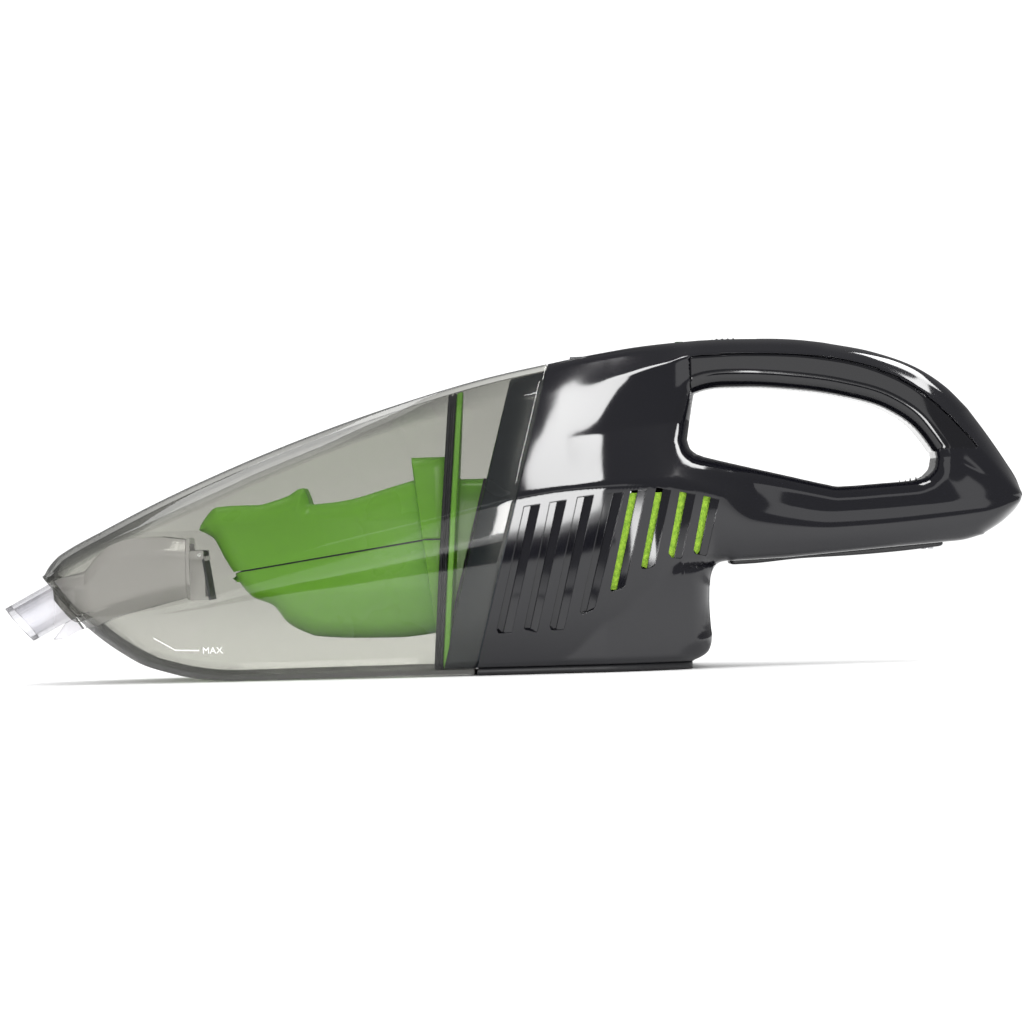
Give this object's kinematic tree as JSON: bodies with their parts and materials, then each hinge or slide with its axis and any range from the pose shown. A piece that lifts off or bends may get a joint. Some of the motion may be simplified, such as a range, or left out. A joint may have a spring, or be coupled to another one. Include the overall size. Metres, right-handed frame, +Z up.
{
  "type": "handheld vacuum",
  "caption": "Cordless handheld vacuum with a clear lift-off dust cup, green filter basket, louvred motor housing and closed loop handle.",
  "frame": {"origin": "on the ground under the middle of the outer box", "axes": "+X towards the handle's tail, +Z up, nozzle towards -X"},
  "size_m": [0.4059, 0.1152, 0.1302],
  "materials": {
    "smoked_clear": "polished see-through",
    "clear_plastic": "polished see-through",
    "gloss_black_abs": "polished",
    "satin_black_abs": "fine texture",
    "black_nylon": "moulded",
    "black_rubber": "moulded",
    "flap_rubber": "soft translucent",
    "green_plastic": "satin",
    "green_foam": "open-cell foam",
    "filter_paper": "pleated fibre",
    "plated_steel": "zinc plated",
    "laminated_steel": "stacked sheet",
    "bronze": "sintered",
    "brass_bars": "turned",
    "circuit_board": "solder mask",
    "cell_wrap": "shrink wrap",
    "lead_insulation": "extruded",
    "lamp_lens": "clear tinted",
    "white_nylon": "moulded"
  },
  "bodies": {
    "housing": {"body_shell_left": "gloss_black_abs", "body_shell_right": "gloss_black_abs", "base_plate": "satin_black_abs", "bulkhead": "gloss_black_abs", "neck_seal": "black_rubber", "fan_housing": "black_nylon", "motor_can": "plated_steel", "motor_end_cap": "black_nylon", "motor_mount": "black_rubber", "motor_support": "black_nylon", "front_bearing": "bronze", "rear_bearing": "bronze", "circuit_board": "circuit_board", "power_switch": "black_nylon", "charge_jack": "black_nylon", "battery_cell_left": "cell_wrap", "battery_cell_right": "cell_wrap", "cell_strap": "plated_steel", "battery_cover": "satin_black_abs", "exhaust_foam_left": "green_foam", "exhaust_foam_right": "green_foam", "grip_liner": "gloss_black_abs", "charge_lamp": "lamp_lens", "housing_screws": "plated_steel", "base_screws": "plated_steel", "cover_screws": "plated_steel", "motor_leads": "lead_insulation", "battery_leads": "lead_insulation", "switch_leads": "lead_insulation", "release_spring": "plated_steel", "spring_shelf": "black_nylon"},
    "cup": {"dust_cup": "smoked_clear", "inlet_duct": "clear_plastic", "duct_catch": "clear_plastic", "flap_pin": "plated_steel"},
    "flap": {"inlet_flap": "flap_rubber"},
    "filter": {"filter_frame_upper": "green_plastic", "filter_frame_lower": "green_plastic", "filter_mesh": "plated_steel", "pleated_filter": "filter_paper", "filter_end_cap": "green_plastic", "filter_seal_ring": "black_rubber", "filter_flange": "green_plastic"},
    "release": {"release_button": "gloss_black_abs"},
    "switch": {"power_slider": "satin_black_abs"},
    "rotor": {"motor_shaft": "plated_steel", "armature": "laminated_steel", "commutator": "brass_bars", "impeller": "white_nylon"}
  },
  "joints": [
    {"name": "cup_slide", "type": "slide", "parent": "housing", "child": "cup", "axis": [-1, 0, 0], "range_m": [0, 0.245]},
    {"name": "filter_slide", "type": "slide", "parent": "housing", "child": "filter", "axis": [-1, 0, 0], "range_m": [0, 0.098]},
    {"name": "flap_hinge", "type": "hinge", "parent": "cup", "child": "flap", "pos_m": [-0.1249, 0, 0.0498], "axis": [0, -1, 0], "range_deg": [0, 30]},
    {"name": "release_press", "type": "slide", "parent": "housing", "child": "release", "axis": [0, 0, -1], "range_m": [0, 0.0025], "stiffness_N_per_m": 700, "springref_m": -0.001, "deforming": ["release_spring"]},
    {"name": "switch_slide", "type": "slide", "parent": "housing", "child": "switch", "axis": [1, 0, 0], "range_m": [0, 0.005]},
    {"name": "rotor_spin", "type": "hinge", "parent": "housing", "child": "rotor", "pos_m": [0.04, 0, 0.046], "axis": [1, 0, 0], "continuous": true}
  ],
  "couplings": [
    {"joint": "filter_slide", "follows": "cup_slide", "ratio": 0.4}
  ]
}
